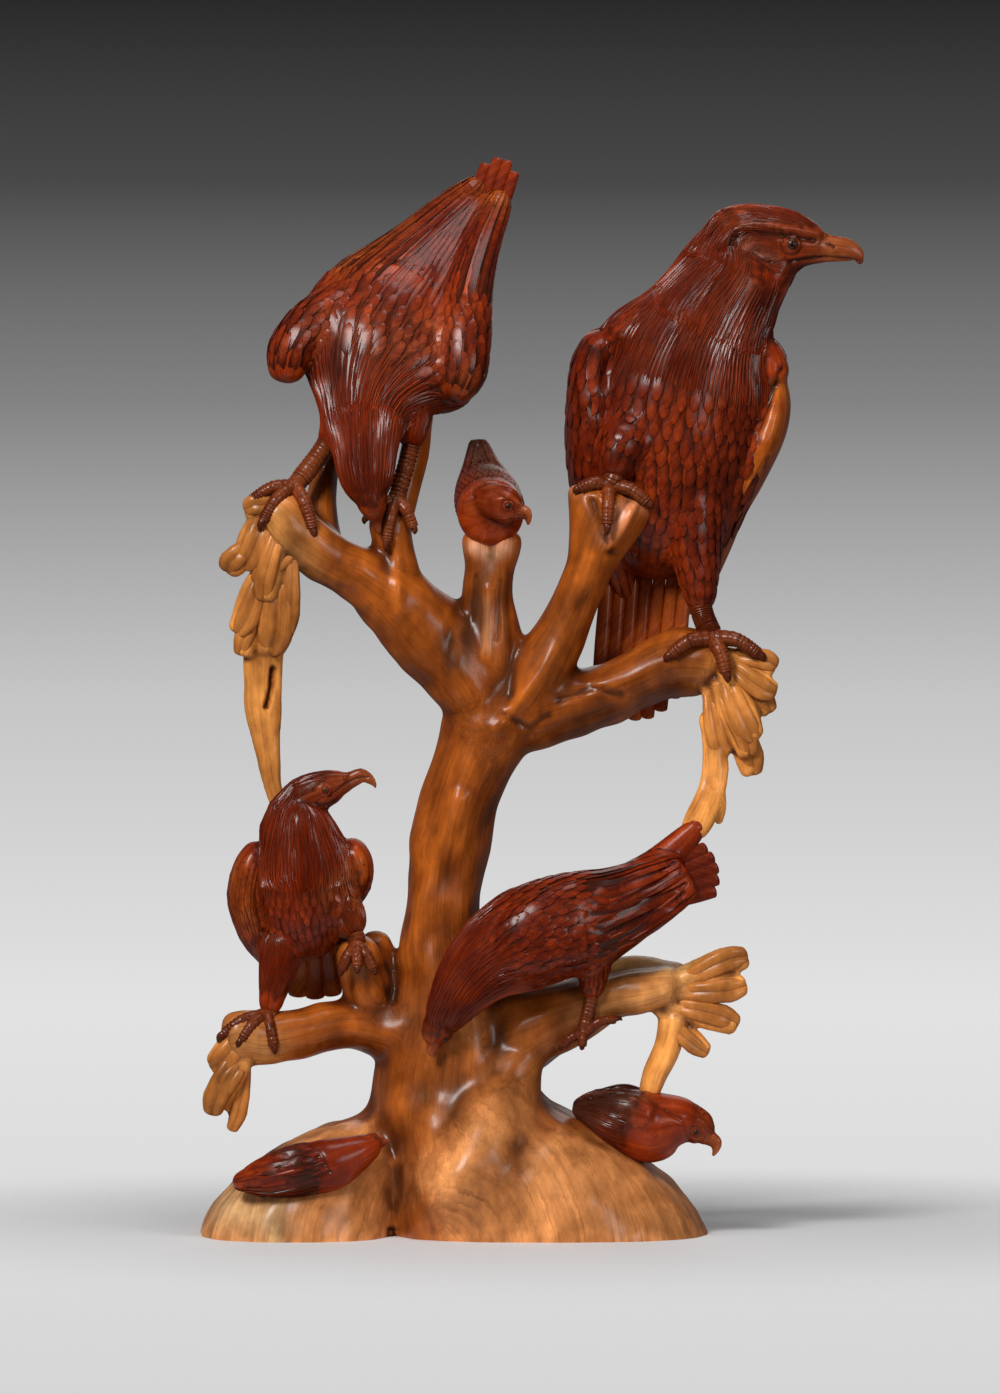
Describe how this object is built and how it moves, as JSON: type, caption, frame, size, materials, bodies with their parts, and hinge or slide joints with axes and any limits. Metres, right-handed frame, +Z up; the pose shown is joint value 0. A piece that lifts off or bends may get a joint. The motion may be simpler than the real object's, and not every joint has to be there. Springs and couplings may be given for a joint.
{
  "type": "wooden eagle carving",
  "caption": "Tall hardwood carving of eagles and smaller birds perched on a branching tree that rises from its own spreading root foot, all cut from one stump.",
  "frame": {"origin": "middle of the carving's outline in plan, on the level underside of its foot", "axes": "+Z up along the tree, +X to the viewer's right, +Y to the back, away from the viewer"},
  "size_m": [0.7933, 0.3362, 1.2976],
  "materials": {
    "carved_wood": "oiled and lacquered hardwood, dark red-brown on the birds, golden brown on the tree, pale sapwood at the leaf sprays"
  },
  "bodies": {
    "root": {"carving": "carved_wood"}
  },
  "joints": []
}
